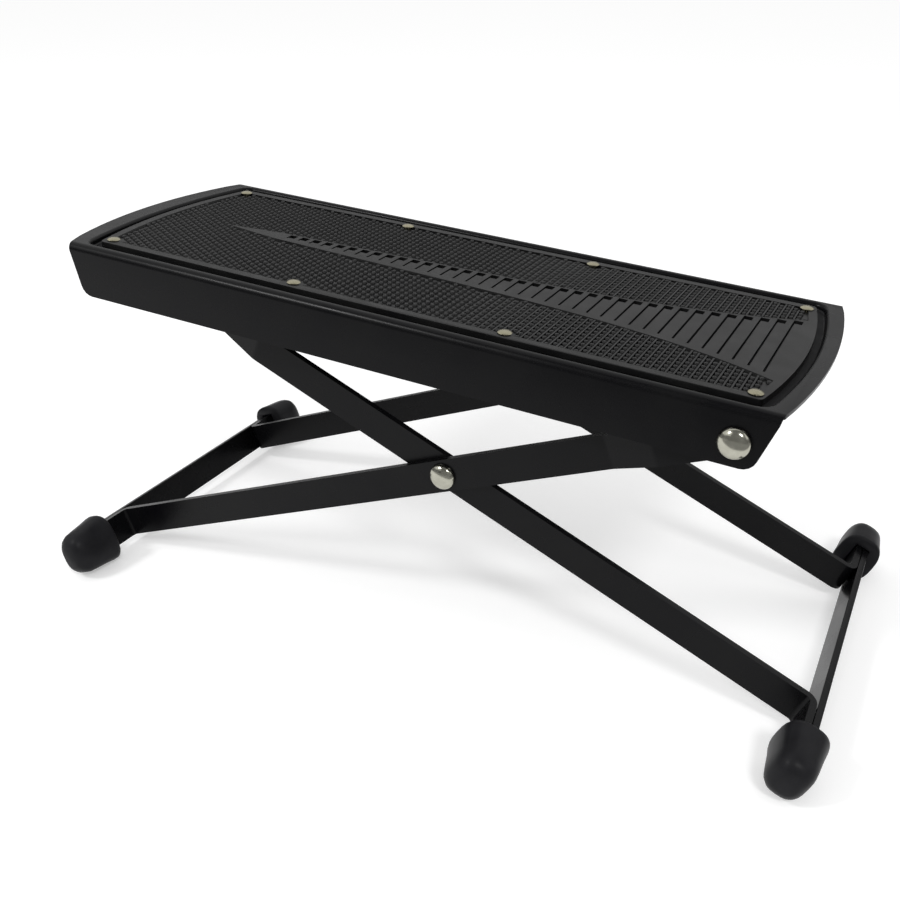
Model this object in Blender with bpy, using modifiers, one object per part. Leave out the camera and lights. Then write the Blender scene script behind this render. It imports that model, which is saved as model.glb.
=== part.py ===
# Folding guitar footrest: a pressed steel plate with a rubber tread mat, carried on
# a scissor of two frames made of flat steel bar.
# Metres, +Z up, floor at Z = 0, +X towards the low end of the plate.
# The plate frame has its origin in the middle of the plate's low end line, on its
# top plane, with +X along the plate and +Z square to it.
import math

import bmesh
import bpy
from mathutils import Matrix

# fits shared by all pieces
FIT_GAP = 0.0003             # between pieces that touch
WELD = 0.000003              # points closer than this are one
HOLE_CLEARANCE = 0.00035     # round a shank in its hole, on the radius
OVERRUN = 0.002              # how far a cutter runs past what it cuts

# top plate, one sheet pressed and folded
PLATE_LENGTH = 0.2665        # between the corners
PLATE_WIDTH = 0.110
LOW_BULGE = 0.0058           # how far the low end bows out past its corners
HIGH_BULGE = 0.0083
SHEET = 0.0012
FLANGE_DEPTH = 0.0195
FLANGE_LEAN_SHARE = 0.29     # run-in of a flange's end for its depth
FLANGE_CORNER = 0.0050
PLATE_BEND = 0.0014
RECESS_DEPTH = 0.0026
RECESS_SIDE = 0.0046         # plate's side to the recess wall
RECESS_BULGE = 0.0053        # of both ends, which reach the lines between the corners
RECESS_CORNER = 0.0050
RECESS_LIP = 0.0015
RECESS_FILLET = 0.0008

# tread mat, moulded rubber
GROOVE_SIDE = 0.0045         # recess wall to the mat
GROOVE_END = 0.00275
MAT_THICKNESS = 0.0022
MAT_BULGE = 0.0052
MAT_CORNER = 0.0018
MAT_BORDER = 0.0030
TREAD_DROP = 0.0005
FAN_TIP_GAP = 0.03195        # mat's high end to the tip of the fan
FAN_TIP_LENGTH = 0.0230
FAN_TIP_HALF = 0.0003
FAN_MARGIN = 0.0034          # fan's edge to the ends of its slots
FAN_TAPER_SHARE = 0.047      # growth of a slot's half length along the fan
FAN_FLARE = 0.0150           # extra half length at the wide end
FAN_POWER = 5
SLOT_COUNT = 37
SLOT_PITCH = 0.00536
SLOT_INSET = 0.00935         # mat's low end to the last slot
SLOT_WIDTH = 0.0005
SLOT_DEPTH = 0.0016
SLOT_HALF = 0.0005           # half length of a slot with no taper
SLOT_FOOT = 0.0029           # length of the foot of each L
SLOT_FOOT_WIDTH = 0.0034
SLOT_FOOT_REACH = 0.0026     # how far a foot runs past its slot's half length

# rivets that hold the mat
MAT_RIVET_COLUMNS = 4
MAT_RIVET_INSET = 0.00795    # mat's low end to the first rivets
MAT_RIVET_END = 0.0030       # mat's corner to the last rivets
MAT_RIVET_SIDE = 0.0036      # mat's side to the rivets
MAT_RIVET_HEAD = 0.0025
MAT_RIVET_DOME = 0.0007
MAT_RIVET_SHANK = 0.0015
MAT_RIVET_TAIL = 0.0024
MAT_RIVET_TAIL_HEIGHT = 0.0009

# flat bar of both frames
BAR_WIDTH = 0.012
BAR = 0.0025
BAR_BEND = 0.0016            # inner radius where a leg turns into its tab
SOFT_BEND = 0.006            # radius of the joggle and the kink
BAR_GAP = 0.0004             # between the crossing legs

# linkage
PIVOT_INSET = 0.012          # plate's low end to the plate pivot
FOLD_GAP = 0.0005            # folded leg to the mat rivets' tails
SCISSOR_REACH = 0.1066       # plate pivot to the scissor pivot
ROD_END_INSET = 0.0187       # plate's high end to the rod when folded flat
OUTER_FOOT_GAP = 0.00905     # plate's high end to the middle of the feet when folded
INNER_FOOT_GAP = 0.02065     # the same at the low end
SPACER = 0.0022
JOGGLE = 0.0035
JOGGLE_START = 0.027
JOGGLE_LENGTH = 0.016
KINK = 0.0055
KINK_START = 0.022
KINK_LENGTH = 0.022

# height rack and its rod
ROD_RADIUS = 0.00325
ROD_TENON = 0.0022
ROD_HEAD = 0.0038
ROD_HEAD_HEIGHT = 0.0014
ROD_CLEARANCE = 0.00085      # rod to the tips of the rack's teeth
RACK_WALL = 0.0020
RACK_SIDE_GAP = 0.0015       # rack to the inner legs
RACK_SPINE = 0.0015
RACK_FOOT = 0.0095
RACK_END = 0.009             # rack's end to its slot
RACK_CORNER = 0.003
NOTCH_DEPTH = 0.0023
NOTCH_COUNT = 4
NOTCH_START = 0.0091         # rod folded flat to the lowest notch
NOTCH_PITCH = 0.0085
NOTCH_IN_USE = 1

# pivot and scissor rivets
PIVOT_HEAD = 0.0052
PIVOT_DOME = 0.0030
PIVOT_SHANK = 0.0025
PIVOT_TAIL = 0.0040
PIVOT_TAIL_HEIGHT = 0.0013
SCISSOR_HEAD = 0.00485
SCISSOR_DOME = 0.0026
SCISSOR_SHANK = 0.0022
SCISSOR_TAIL = 0.0036
SCISSOR_TAIL_HEIGHT = 0.0012
SPACER_RADIUS = 0.0055
WASHER_RADIUS = 0.0048
WASHER = 0.0010

# foot caps, moulded rubber
CAP_STANDOFF = 0.0135        # outer leg's face to the cap's mouth
CAP_GRIP = 0.016             # how far bar and tab run into a cap
CAP_END_WALL = 0.0030
CAP_SIDE_WALL = 0.0040
CAP_FACE_WALL = 0.0050
CAP_POWER = 2.7
CAP_STATION_SHARES = (
    (0.0, 0.96), (0.03, 1.0), (0.10, 1.0), (0.30, 0.945), (0.60, 0.89),
    (0.76, 0.85), (0.87, 0.76), (0.95, 0.61), (1.0, 0.42),
)

# facets
ARC_STEPS = 14
CORNER_STEPS = 4
BEND_STEPS = 4
ROUND_STEPS = 24
SMALL_ROUND_STEPS = 16
CAP_STEPS = 32
FAN_STEPS = 30
SOLVE_STEPS = 60
SMOOTH_ANGLE = math.radians(35)
CAP_SMOOTH_ANGLE = math.radians(60)

# plate and mat, worked out
PLATE_HALF = PLATE_WIDTH / 2
RECESS_HALF = PLATE_HALF - RECESS_SIDE
RECESS_UNDERSIDE = RECESS_DEPTH + SHEET
MAT_HALF = RECESS_HALF - GROOVE_SIDE
MAT_LOW_END = -GROOVE_END
MAT_HIGH_END = GROOVE_END - PLATE_LENGTH
MAT_TOP = MAT_THICKNESS + FIT_GAP - RECESS_DEPTH
FAN_TIP = MAT_HIGH_END + FAN_TIP_GAP
SLOT_ORIGIN = FAN_TIP + FAN_TIP_LENGTH
SLOT_SPAN = MAT_LOW_END - SLOT_INSET - SLOT_ORIGIN
RIVET_ROW = MAT_HALF - MAT_RIVET_SIDE
RIVET_LOW = MAT_LOW_END - MAT_RIVET_INSET
RIVET_HIGH = MAT_HIGH_END + MAT_BULGE + MAT_RIVET_END
RIVET_TAIL_DROP = RECESS_UNDERSIDE + FIT_GAP + MAT_RIVET_TAIL_HEIGHT

# half widths across the frames, worked out
FLANGE_INNER = PLATE_HALF - SHEET
PIVOT_FACE = FLANGE_INNER - FIT_GAP - SPACER - FIT_GAP
OUTER_FACE = PIVOT_FACE - JOGGLE
INNER_FACE = OUTER_FACE - BAR - BAR_GAP
ROD_FACE = INNER_FACE - KINK
RACK_FACE = ROD_FACE - BAR - RACK_SIDE_GAP
CAP_MOUTH = OUTER_FACE + CAP_STANDOFF
BAR_END = CAP_MOUTH + CAP_GRIP
CAP_END = BAR_END + FIT_GAP + CAP_END_WALL

# tab and crossbar lie face to face, the cap goes over both
STACK_OFFSET = (BAR + FIT_GAP) / 2
POCKET_HALF_ALONG = BAR + FIT_GAP / 2 + FIT_GAP
POCKET_HALF_ACROSS = BAR_WIDTH / 2 + FIT_GAP
CAP_HALF_ALONG = POCKET_HALF_ALONG + CAP_FACE_WALL
CAP_HALF_ACROSS = POCKET_HALF_ACROSS + CAP_SIDE_WALL

# linkage in the plate frame, worked out
PIVOT_DROP = RIVET_TAIL_DROP + FOLD_GAP + BAR_WIDTH / 2
ROD_TOP_DROP = RECESS_UNDERSIDE + FIT_GAP + RACK_SPINE + NOTCH_DEPTH + ROD_CLEARANCE
ROD_DROP = ROD_TOP_DROP + ROD_RADIUS
ROD_FLAT = PLATE_LENGTH - ROD_END_INSET
ROD_REACH = ROD_FLAT - PIVOT_INSET - SCISSOR_REACH
OUTER_FOOT = PLATE_LENGTH + HIGH_BULGE + OUTER_FOOT_GAP - PIVOT_INSET
INNER_FOOT = PIVOT_INSET + SCISSOR_REACH + LOW_BULGE + INNER_FOOT_GAP
ROD_AT = ROD_FLAT - NOTCH_START - NOTCH_PITCH * NOTCH_IN_USE


def clear_scene():
    for item in list(bpy.data.objects):
        bpy.data.objects.remove(item, do_unlink=True)


def make_collection(name):
    collection = bpy.data.collections.new(name)
    bpy.context.scene.collection.children.link(collection)
    return collection


def make_material(name, colour, roughness, metallic):
    material = bpy.data.materials.new(name)
    material.use_nodes = True
    shader = material.node_tree.nodes["Principled BSDF"]
    shader.inputs["Base Color"].default_value = (*colour, 1.0)
    shader.inputs["Roughness"].default_value = roughness
    shader.inputs["Metallic"].default_value = metallic
    return material


# Angles of the linkage at the notch in use. Scissor and rod form a triangle with the
# plate pivot, so the cosine law gives all of it.
def linkage_angles():
    across = ROD_AT - PIVOT_INSET
    down = ROD_DROP - PIVOT_DROP
    base = math.hypot(across, down)
    sides = SCISSOR_REACH ** 2 + base ** 2 - ROD_REACH ** 2
    at_pivot = math.acos(sides / (2 * SCISSOR_REACH * base))
    sides = SCISSOR_REACH ** 2 + ROD_REACH ** 2 - base ** 2
    at_scissor = math.acos(sides / (2 * SCISSOR_REACH * ROD_REACH))
    return at_pivot + math.atan2(down, across), math.pi - at_scissor


def cap_outline(scale):
    points = []
    for step in range(CAP_STEPS):
        turn = 2 * math.pi * step / CAP_STEPS
        along = math.copysign(abs(math.cos(turn)) ** (2 / CAP_POWER), math.cos(turn))
        across = math.copysign(abs(math.sin(turn)) ** (2 / CAP_POWER), math.sin(turn))
        points.append((along * CAP_HALF_ALONG * scale, across * CAP_HALF_ACROSS * scale))
    return points


# Place of a point of a frame turned by an angle about Y.
def turned_point(x, z, angle):
    return (
        x * math.cos(angle) + z * math.sin(angle),
        z * math.cos(angle) - x * math.sin(angle),
    )


# Foot caps as world X and Z points, with the plate's origin at the world's, for a tilt.
def feet_at(tilt):
    leg_angle, fold_angle = linkage_angles()
    outer = tilt - leg_angle
    inner = outer + fold_angle
    pivot = turned_point(-PIVOT_INSET, -PIVOT_DROP, tilt)
    arm = turned_point(-SCISSOR_REACH, 0, outer)
    scissor = (pivot[0] + arm[0], pivot[1] + arm[1])
    high = []
    low = []
    for along, across in cap_outline(1.0):
        x, z = turned_point(along - OUTER_FOOT, across, outer)
        high.append((pivot[0] + x, pivot[1] + z))
        x, z = turned_point(along + INNER_FOOT, across, inner)
        low.append((scissor[0] + x, scissor[1] + z))
    return high, low


# Tilt of the plate at which all four caps stand on the floor, found by halving.
def standing_tilt():
    lowest = -math.pi / 4
    highest = math.pi / 4
    for _ in range(SOLVE_STEPS):
        tilt = (lowest + highest) / 2
        high, low = feet_at(tilt)
        if min(point[1] for point in high) < min(point[1] for point in low):
            lowest = tilt
        else:
            highest = tilt
    return tilt


# Where the plate frame's origin lies, with the floor at 0 and the footrest centred.
def standing_place(tilt):
    high, low = feet_at(tilt)
    high_end = turned_point(-PLATE_LENGTH - HIGH_BULGE, -SHEET, tilt)
    left = min([point[0] for point in high] + [high_end[0]])
    low_end = turned_point(LOW_BULGE, 0, tilt)
    right = max([point[0] for point in low] + [low_end[0]])
    return -(left + right) / 2, -min(point[1] for point in low)


def make_frame(name, parent, location, angle):
    frame = bpy.data.objects.new(name, None)
    frame.empty_display_size = BAR_WIDTH
    frame.location = location
    frame.rotation_euler = (0, angle, 0)
    frame.parent = parent
    parts.objects.link(frame)
    return frame


def place(mesh, name, frame, material=None, location=(0, 0, 0), rotation=(0, 0, 0)):
    item = bpy.data.objects.new(name, mesh)
    item.parent = frame
    item.location = location
    item.rotation_euler = rotation
    if material is None:
        cutters.objects.link(item)
        item.hide_render = True
        item.display_type = "WIRE"
    else:
        parts.objects.link(item)
        mesh.materials.append(material)
    return item


def smooth(mesh, sharpest=SMOOTH_ANGLE):
    mesh.shade_smooth()
    mesh.set_sharp_from_angle(angle=sharpest)


def add_boolean(item, cutter, operation="DIFFERENCE"):
    cut = item.modifiers.new(cutter.name, "BOOLEAN")
    cut.operation = operation
    cut.solver = "EXACT"
    cut.object = cutter


# A flat outline with its holes, as a closed solid centred on its plane.
def outline_mesh(name, loops, thickness):
    curve = bpy.data.curves.new(name, "CURVE")
    curve.dimensions = "2D"
    curve.fill_mode = "BOTH"
    curve.extrude = thickness / 2
    for loop in loops:
        spline = curve.splines.new("POLY")
        spline.points.add(len(loop) - 1)
        for point, (x, y) in zip(spline.points, loop):
            point.co = (x, y, 0, 1)
        spline.use_cyclic_u = True
    guide = bpy.data.objects.new(name, curve)
    bpy.context.scene.collection.objects.link(guide)
    depsgraph = bpy.context.evaluated_depsgraph_get()
    mesh = bpy.data.meshes.new_from_object(guide.evaluated_get(depsgraph))
    bpy.data.objects.remove(guide, do_unlink=True)
    weld(mesh)
    return mesh


def weld(mesh):
    bm = bmesh.new()
    bm.from_mesh(mesh)
    bmesh.ops.remove_doubles(bm, verts=bm.verts, dist=WELD)
    bmesh.ops.recalc_face_normals(bm, faces=bm.faces)
    bm.to_mesh(mesh)
    bm.free()


# A profile of (radius, height) points, turned about Z by a Screw modifier.
def turned(name, profile, frame, material, steps, closed=False, location=(0, 0, 0), rotation=(0, 0, 0)):
    mesh = bpy.data.meshes.new(name)
    bm = bmesh.new()
    verts = [bm.verts.new((radius, 0, height)) for radius, height in profile]
    for start, end in zip(verts, verts[1:]):
        bm.edges.new((start, end))
    if closed:
        bm.edges.new((verts[-1], verts[0]))
    bm.to_mesh(mesh)
    bm.free()
    item = place(mesh, name, frame, material, location, rotation)
    screw = item.modifiers.new("turn", "SCREW")
    screw.axis = "Z"
    screw.angle = 2 * math.pi
    screw.steps = steps
    screw.render_steps = steps
    screw.use_merge_vertices = True
    screw.merge_threshold = WELD
    screw.use_smooth_shade = True
    return item


def rivet_profile(head, dome, shank, grip, tail, tail_height):
    profile = []
    for step in range(BEND_STEPS + 1):
        turn = math.pi / 2 * step / BEND_STEPS
        profile.append((head * math.sin(turn), dome * math.cos(turn)))
    profile.append((shank, 0))
    profile.append((shank, -grip))
    profile.append((tail, -grip))
    profile.append((tail, -grip - tail_height / 2))
    profile.append((shank, -grip - tail_height))
    profile.append((0, -grip - tail_height))
    return profile


def ring_profile(inner, outer, height):
    return [(outer, height), (outer, 0), (inner, 0), (inner, height)]


# Half circle or less, as points round a centre.
def arc_points(centre, radius, start, end, steps):
    points = []
    for step in range(steps + 1):
        turn = start + (end - start) * step / steps
        points.append((centre[0] + radius * math.cos(turn), centre[1] + radius * math.sin(turn)))
    return points


def circle_points(centre, radius, steps):
    return arc_points(centre, radius, 0, 2 * math.pi, steps)[:-1]


def bow_radius(half, bulge):
    return (half ** 2 + bulge ** 2) / (2 * bulge)


# Plan of a panel with two straight sides and two bowed ends, corners rounded.
# The low end's apex lies at low, the high end's at high.
def bowed_outline(half, low, high, radius, corner):
    reach = math.sqrt((radius - corner) ** 2 - (half - corner) ** 2)
    lean = math.atan2(half - corner, reach)
    outline = []
    for apex, facing in ((low, 0), (high, math.pi)):
        centre_x = apex - radius * math.cos(facing)
        corner_x = centre_x + reach * math.cos(facing)
        bottom = arc_points((0, 0), corner, -math.pi / 2, -lean, CORNER_STEPS)
        side = arc_points((0, 0), radius, -lean, lean, ARC_STEPS)
        top = arc_points((0, 0), corner, lean, math.pi / 2, CORNER_STEPS)
        turn = math.cos(facing)
        outline += [(corner_x + x * turn, (corner - half + y) * turn) for x, y in bottom[:-1]]
        outline += [(centre_x + x * turn, y * turn) for x, y in side]
        outline += [(corner_x + x * turn, (half - corner + y) * turn) for x, y in top[1:]]
    return outline


def add_loop(bm, outline, height):
    verts = [bm.verts.new((x, y, height)) for x, y in outline]
    return [bm.edges.new((start, end)) for start, end in zip(verts, verts[1:] + verts[:1])]


# How far an end of the plate reaches past its corners, off the middle line by y.
def plate_end(y, bulge):
    radius = bow_radius(PLATE_HALF, bulge)
    return math.sqrt(radius ** 2 - y ** 2) - radius + bulge


# Outward offset and height of each level of the recess, from the rim to its floor.
def recess_levels():
    levels = []
    for step in range(BEND_STEPS + 1):
        turn = math.pi / 2 * step / BEND_STEPS
        levels.append((RECESS_LIP * (1 - math.sin(turn)), RECESS_LIP * (math.cos(turn) - 1)))
    for step in range(BEND_STEPS + 1):
        turn = math.pi / 2 * step / BEND_STEPS
        rise = RECESS_FILLET * (1 - math.sin(turn))
        levels.append((RECESS_FILLET * (math.cos(turn) - 1), rise - RECESS_DEPTH))
    return levels


# Side distance, height and run-in of each row of a flange, from the bend's start down.
def flange_rows():
    rows = []
    lean = math.atan(FLANGE_LEAN_SHARE)
    for step in range(1, BEND_STEPS + 1):
        turn = math.pi / 2 * step / BEND_STEPS
        side = PLATE_HALF - PLATE_BEND + PLATE_BEND * math.sin(turn)
        drop = PLATE_BEND * (1 - math.cos(turn))
        rows.append((side, -drop, drop * FLANGE_LEAN_SHARE))
    tangent = FLANGE_CORNER * math.tan((math.pi / 2 - lean) / 2)
    start = FLANGE_DEPTH - tangent * math.cos(lean)
    centre_x = -start * FLANGE_LEAN_SHARE - FLANGE_CORNER * math.cos(lean)
    centre_z = FLANGE_CORNER - FLANGE_DEPTH
    for x, z in arc_points((centre_x, centre_z), FLANGE_CORNER, -lean, -math.pi / 2, CORNER_STEPS):
        rows.append((PLATE_HALF, z, -x))
    return rows


def make_top_plate():
    mesh = bpy.data.meshes.new("top_plate")
    bm = bmesh.new()
    end_radius = bow_radius(RECESS_HALF, RECESS_BULGE)
    previous = None
    rim = None
    for offset, height in recess_levels():
        outline = bowed_outline(
            RECESS_HALF + offset, offset, -PLATE_LENGTH - offset,
            end_radius + offset, RECESS_CORNER + offset,
        )
        loop = add_loop(bm, outline, height)
        if previous is None:
            rim = loop
        else:
            bmesh.ops.bridge_loops(bm, edges=previous + loop)
        previous = loop
    bmesh.ops.contextual_create(bm, geom=previous)
    outer, folds = add_rim_edges(bm)
    bmesh.ops.triangle_fill(bm, use_beauty=True, edges=rim + outer)
    for fold in folds:
        add_flange(bm, fold)
    bmesh.ops.recalc_face_normals(bm, faces=bm.faces)
    if max(bm.faces, key=lambda face: face.calc_area()).normal.z < 0:
        bmesh.ops.reverse_faces(bm, faces=bm.faces)
    bm.to_mesh(mesh)
    bm.free()
    smooth(mesh)
    plate = place(mesh, "top_plate", plate_frame, black_paint)
    shell = plate.modifiers.new("sheet", "SOLIDIFY")
    shell.thickness = SHEET
    shell.offset = -1
    shell.use_even_offset = True
    shell.use_quality_normals = True
    add_boolean(plate, make_plate_drills())


# Outer edge of the flat rim: bowed ends, and straight folds where the flanges start.
def add_rim_edges(bm):
    fold_side = PLATE_HALF - PLATE_BEND
    outline = []
    for facing in (1, -1):
        for step in range(ARC_STEPS + 1):
            y = fold_side * (2 * step / ARC_STEPS - 1)
            if facing > 0:
                outline.append((plate_end(y, LOW_BULGE), y))
            else:
                outline.append((-PLATE_LENGTH - plate_end(y, HIGH_BULGE), -y))
    verts = [bm.verts.new((x, y, 0)) for x, y in outline]
    edges = []
    folds = []
    for start, end in zip(verts, verts[1:] + verts[:1]):
        edge = bm.edges.new((start, end))
        edges.append(edge)
        if start.co.y == end.co.y:
            folds.append(edge)
    return edges, folds


def add_flange(bm, fold):
    facing = math.copysign(1, fold.verts[0].co.y)
    for side, height, run_in in flange_rows():
        result = bmesh.ops.extrude_edge_only(bm, edges=[fold])
        fold = [item for item in result["geom"] if isinstance(item, bmesh.types.BMEdge)][0]
        moved = sorted(fold.verts, key=lambda vert: vert.co.x)
        moved[0].co.x = run_in - PLATE_LENGTH - plate_end(side, HIGH_BULGE)
        moved[-1].co.x = plate_end(side, LOW_BULGE) - run_in
        for vert in moved:
            vert.co.y = side * facing
            vert.co.z = height


def rivet_places():
    places = []
    for column in range(MAT_RIVET_COLUMNS):
        x = RIVET_LOW + (RIVET_HIGH - RIVET_LOW) * column / (MAT_RIVET_COLUMNS - 1)
        places.append((x, -RIVET_ROW))
        places.append((x, RIVET_ROW))
    return places


def add_drill(bm, radius, length, matrix):
    bmesh.ops.create_cone(
        bm, cap_ends=True, segments=SMALL_ROUND_STEPS, radius1=radius, radius2=radius,
        depth=length, matrix=matrix,
    )


# Holes for the mat's rivets, through mat and plate.
def make_rivet_drills(name):
    mesh = bpy.data.meshes.new(name)
    bm = bmesh.new()
    length = (RECESS_UNDERSIDE + OVERRUN) * 2
    for x, y in rivet_places():
        add_drill(bm, MAT_RIVET_SHANK + HOLE_CLEARANCE, length, Matrix.Translation((x, y, 0)))
    bm.to_mesh(mesh)
    bm.free()
    return place(mesh, name, plate_frame)


def make_plate_drills():
    drills = make_rivet_drills("plate_drills")
    bm = bmesh.new()
    bm.from_mesh(drills.data)
    across = Matrix.Rotation(math.pi / 2, 4, "X")
    for y in (-PLATE_HALF, PLATE_HALF):
        matrix = Matrix.Translation((-PIVOT_INSET, y, -PIVOT_DROP)) @ across
        add_drill(bm, PIVOT_SHANK + HOLE_CLEARANCE, (SHEET + OVERRUN) * 2, matrix)
    bm.to_mesh(drills.data)
    bm.free()
    return drills


# Half length of the slot that lies at a place along the fan.
def slot_half(x):
    along = x - SLOT_ORIGIN
    return SLOT_HALF + FAN_TAPER_SHARE * along + FAN_FLARE * (along / SLOT_SPAN) ** FAN_POWER


def fan_half(x):
    if x > SLOT_ORIGIN:
        return slot_half(x) + FAN_MARGIN
    share = 1 - (SLOT_ORIGIN - x) / FAN_TIP_LENGTH
    return FAN_TIP_HALF + (SLOT_HALF + FAN_MARGIN - FAN_TIP_HALF) * share


def mat_outline():
    return bowed_outline(
        MAT_HALF, MAT_LOW_END, MAT_HIGH_END, bow_radius(MAT_HALF, MAT_BULGE), MAT_CORNER,
    )


# Plan of the textured field: the mat's border inside, less the smooth fan.
def tread_outline():
    radius = bow_radius(MAT_HALF, MAT_BULGE) - MAT_BORDER
    half = MAT_HALF - MAT_BORDER
    low = MAT_LOW_END - MAT_BORDER
    high = MAT_HIGH_END + MAT_BORDER

    def bow(y):
        return radius - math.sqrt(radius ** 2 - y ** 2)

    def end_gap(y):
        return fan_half(low - bow(y)) - y

    fan_y = fan_half(low)
    for _ in range(SOLVE_STEPS):
        fan_y += end_gap(fan_y) / 2
    fan_x = low - bow(fan_y)
    upper = []
    for step in range(ARC_STEPS + 1):
        y = fan_y + (half - fan_y) * step / ARC_STEPS
        upper.append((low - bow(y), y))
    left = []
    for step in range(ARC_STEPS + 1):
        y = half - 2 * half * step / ARC_STEPS
        left.append((high + bow(y), y))
    lower = [(x, -y) for x, y in reversed(upper)]
    edge = []
    for step in range(1, FAN_STEPS + 1):
        x = fan_x + (FAN_TIP - fan_x) * step / FAN_STEPS
        edge.append((x, -fan_half(x)))
    back = [(x, -y) for x, y in reversed(edge)]
    return upper + left + lower + edge + back


# One L: a thin groove across the fan with a wide foot at its far end.
def slot_outline(x):
    half = slot_half(x)
    far = half + SLOT_FOOT_REACH
    thin = SLOT_WIDTH / 2
    foot = max(far - SLOT_FOOT_WIDTH, -half + thin)
    return [
        (x - thin, -half), (x + thin, -half), (x + thin, foot),
        (x + SLOT_FOOT, foot), (x + SLOT_FOOT, far), (x - thin, far),
    ]


def make_tread_mat():
    mesh = outline_mesh("tread_mat", [mat_outline()], MAT_THICKNESS)
    middle = MAT_TOP - MAT_THICKNESS / 2
    mat = place(mesh, "tread_mat", plate_frame, mat_rubber, (0, 0, middle))
    mesh = outline_mesh("tread_cutter", [tread_outline()], TREAD_DROP * 2)
    add_boolean(mat, place(mesh, "tread_cutter", plate_frame, None, (0, 0, MAT_TOP)))
    slots = []
    for index in range(SLOT_COUNT):
        x = MAT_LOW_END - SLOT_INSET - SLOT_PITCH * index
        if x > SLOT_ORIGIN:
            slots.append(slot_outline(x))
    mesh = outline_mesh("slot_cutter", slots, SLOT_DEPTH * 2)
    add_boolean(mat, place(mesh, "slot_cutter", plate_frame, None, (0, 0, MAT_TOP)))
    add_boolean(mat, make_rivet_drills("mat_drills"))


def make_mat_rivets():
    grip = MAT_TOP + FIT_GAP + RECESS_UNDERSIDE + FIT_GAP
    profile = rivet_profile(
        MAT_RIVET_HEAD, MAT_RIVET_DOME, MAT_RIVET_SHANK, grip,
        MAT_RIVET_TAIL, MAT_RIVET_TAIL_HEIGHT,
    )
    for index, (x, y) in enumerate(rivet_places(), 1):
        turned(
            f"mat_rivet_{index}", profile, plate_frame, nickel, SMALL_ROUND_STEPS,
            location=(x, y, MAT_TOP + FIT_GAP),
        )


# Slot of the rack: a straight lower edge, and round notches along the upper one.
def rack_slot():
    tips = -ROD_DROP + ROD_RADIUS + ROD_CLEARANCE
    bottom = -ROD_DROP - ROD_RADIUS - ROD_CLEARANCE
    radius = ROD_RADIUS + FIT_GAP
    high = -ROD_FLAT - radius - FIT_GAP
    low = -ROD_FLAT + NOTCH_START + NOTCH_PITCH * (NOTCH_COUNT - 1) + radius + NOTCH_PITCH / 4
    lift = math.acos((radius - NOTCH_DEPTH) / radius)
    outline = [(high, tips), (high, bottom), (low, bottom), (low, tips)]
    for index in reversed(range(NOTCH_COUNT)):
        x = -ROD_FLAT + NOTCH_START + NOTCH_PITCH * index
        centre = (x, tips + NOTCH_DEPTH - radius)
        outline += arc_points(centre, radius, math.pi / 2 - lift, math.pi / 2 + lift, BEND_STEPS * 2)
    return outline, low, high


def make_rack(name, facing):
    slot, low, high = rack_slot()
    low += RACK_END
    high -= RACK_END
    top = -RECESS_UNDERSIDE - FIT_GAP
    bottom = -ROD_DROP - ROD_RADIUS - ROD_CLEARANCE - RACK_WALL
    corner = RACK_CORNER
    wall = [(low, top), (high, top)]
    wall += arc_points((high + corner, bottom + corner), corner, math.pi, math.pi * 3 / 2, CORNER_STEPS)
    wall += arc_points((low - corner, bottom + corner), corner, math.pi * 3 / 2, math.pi * 2, CORNER_STEPS)
    mesh = outline_mesh(name, [wall, slot], RACK_WALL)
    mesh.transform(Matrix.Rotation(math.pi / 2, 4, "X"))
    rack = place(
        mesh, name, plate_frame, black_paint,
        (0, (RACK_FACE - RACK_WALL / 2) * facing, 0),
    )
    feet = bpy.data.meshes.new(f"{name}_feet")
    bm = bmesh.new()
    inner_edge = RACK_FACE - RACK_WALL - RACK_FOOT
    for end in (low - RACK_END / 2, high + RACK_END / 2):
        matrix = Matrix.Translation((end, (RACK_FACE + inner_edge) / 2 * facing, top - RACK_WALL / 2))
        matrix = matrix @ Matrix.Diagonal((RACK_END - FIT_GAP, RACK_FACE - inner_edge - FIT_GAP, RACK_WALL, 1))
        bmesh.ops.create_cube(bm, size=1, matrix=matrix)
    bm.to_mesh(feet)
    bm.free()
    add_boolean(rack, place(feet, f"{name}_feet", plate_frame), "UNION")


# Middle line of a bent bar, its corners rounded by the radii given.
def bent_path(points, radii):
    path = [points[0]]
    for before, corner, after, radius in zip(points, points[1:], points[2:], radii):
        to_before = math.atan2(before[1] - corner[1], before[0] - corner[0])
        to_after = math.atan2(after[1] - corner[1], after[0] - corner[0])
        between = (to_after - to_before + math.pi) % (2 * math.pi) - math.pi
        middle = to_before + between / 2
        reach = radius / math.sin(abs(between) / 2)
        centre = (corner[0] + reach * math.cos(middle), corner[1] + reach * math.sin(middle))
        sweep = math.copysign(math.pi - abs(between), between)
        start = to_before - math.copysign(math.pi / 2, between)
        path += arc_points(centre, radius, start, start - sweep, BEND_STEPS * 2)
    path.append(points[-1])
    return path


# Outline of a bar of even thickness along a middle line.
def thick_outline(path, thickness):
    left = []
    right = []
    for index, point in enumerate(path):
        before = path[max(index - 1, 0)]
        after = path[min(index + 1, len(path) - 1)]
        along_in = math.atan2(point[1] - before[1], point[0] - before[0])
        along_out = math.atan2(after[1] - point[1], after[0] - point[0])
        if index == 0:
            along_in = along_out
        if index == len(path) - 1:
            along_out = along_in
        turn = (along_out - along_in + math.pi) % (2 * math.pi) - math.pi
        normal = along_in + turn / 2 + math.pi / 2
        reach = thickness / 2 / math.cos(turn / 2)
        left.append((point[0] + reach * math.cos(normal), point[1] + reach * math.sin(normal)))
        right.append((point[0] - reach * math.cos(normal), point[1] - reach * math.sin(normal)))
    return left + right[::-1]


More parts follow.
